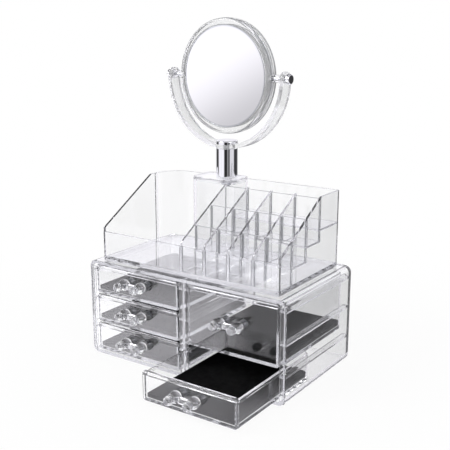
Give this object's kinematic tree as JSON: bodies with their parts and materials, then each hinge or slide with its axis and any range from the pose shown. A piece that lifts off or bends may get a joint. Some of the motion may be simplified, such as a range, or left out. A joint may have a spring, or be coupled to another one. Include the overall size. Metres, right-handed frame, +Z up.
{
  "type": "makeup organizer",
  "caption": "Clear acrylic makeup organizer: a casing of sliding drawers under a lift-off tray with stepped lipstick cells and a round swivel mirror on a chrome post.",
  "frame": {"origin": "middle of the casing's flat underside, on the table", "axes": "+X to the right and +Y to the back as seen from the drawers' side, +Z up"},
  "size_m": [0.24, 0.222, 0.3534],
  "materials": {
    "clear_acrylic": "clear, moulded, polished",
    "liner": "black foam pad",
    "chrome": "polished plating",
    "steel": "plain drawn steel",
    "bush": "natural white moulding",
    "mirror": "silvered glass"
  },
  "bodies": {
    "base": {"casing_shell": "clear_acrylic", "back_panel": "clear_acrylic", "centre_divider": "clear_acrylic", "wall_rails": "clear_acrylic", "divider_rails": "clear_acrylic"},
    "left_top": {"left_top_drawer": "clear_acrylic", "left_top_handle": "clear_acrylic", "left_top_peg_caps": "clear_acrylic", "left_top_liner": "liner"},
    "left_middle": {"left_middle_drawer": "clear_acrylic", "left_middle_handle": "clear_acrylic", "left_middle_peg_caps": "clear_acrylic", "left_middle_liner": "liner"},
    "left_bottom": {"left_bottom_drawer": "clear_acrylic", "left_bottom_handle": "clear_acrylic", "left_bottom_peg_caps": "clear_acrylic", "left_bottom_liner": "liner"},
    "right_tall": {"right_tall_drawer": "clear_acrylic", "right_tall_handle": "clear_acrylic", "right_tall_peg_caps": "clear_acrylic", "right_tall_liner": "liner"},
    "right_low": {"right_low_drawer": "clear_acrylic", "right_low_handle": "clear_acrylic", "right_low_peg_caps": "clear_acrylic", "right_low_liner": "liner"},
    "tray": {"tray_shell": "clear_acrylic", "lipstick_dividers": "clear_acrylic", "lipstick_cross_walls": "clear_acrylic", "lipstick_floors": "clear_acrylic", "rear_shelf": "clear_acrylic"},
    "mirror_stand": {"stand_block": "clear_acrylic", "stand_cap": "clear_acrylic", "post_tube": "chrome", "swivel_bush": "bush", "post_rod": "steel", "post_nut": "steel", "post_collar": "chrome"},
    "yoke": {"yoke": "clear_acrylic"},
    "mirror": {"mirror_front_frame": "clear_acrylic", "mirror_rear_frame": "clear_acrylic", "front_mirror": "mirror", "rear_mirror": "mirror", "pivot_spacers": "clear_acrylic", "pivot_pins": "steel", "pivot_caps": "chrome"}
  },
  "joints": [
    {"name": "left_top_slide", "type": "slide", "parent": "base", "child": "left_top", "axis": [0, -1, 0], "range_m": [0, 0.1]},
    {"name": "left_middle_slide", "type": "slide", "parent": "base", "child": "left_middle", "axis": [0, -1, 0], "range_m": [0, 0.1]},
    {"name": "left_bottom_slide", "type": "slide", "parent": "base", "child": "left_bottom", "axis": [0, -1, 0], "range_m": [0, 0.1]},
    {"name": "right_tall_slide", "type": "slide", "parent": "base", "child": "right_tall", "axis": [0, -1, 0], "range_m": [0, 0.1]},
    {"name": "right_low_slide", "type": "slide", "parent": "base", "child": "right_low", "axis": [0, -1, 0], "range_m": [-0.069, 0.031]},
    {"name": "tray_lift", "type": "slide", "parent": "base", "child": "tray", "axis": [0, 0, 1], "range_m": [0, 0.15]},
    {"name": "mirror_stand_lift", "type": "slide", "parent": "tray", "child": "mirror_stand", "axis": [0, 0, 1], "range_m": [0, 0.09]},
    {"name": "mirror_swivel", "type": "hinge", "parent": "mirror_stand", "child": "yoke", "pos_m": [-0.017, 0.04005, 0.2185], "axis": [0, 0, 1], "continuous": true},
    {"name": "mirror_tilt", "type": "hinge", "parent": "yoke", "child": "mirror", "pos_m": [-0.017, 0.04005, 0.2937], "axis": [0.998, -0.0628, 0], "continuous": true}
  ]
}
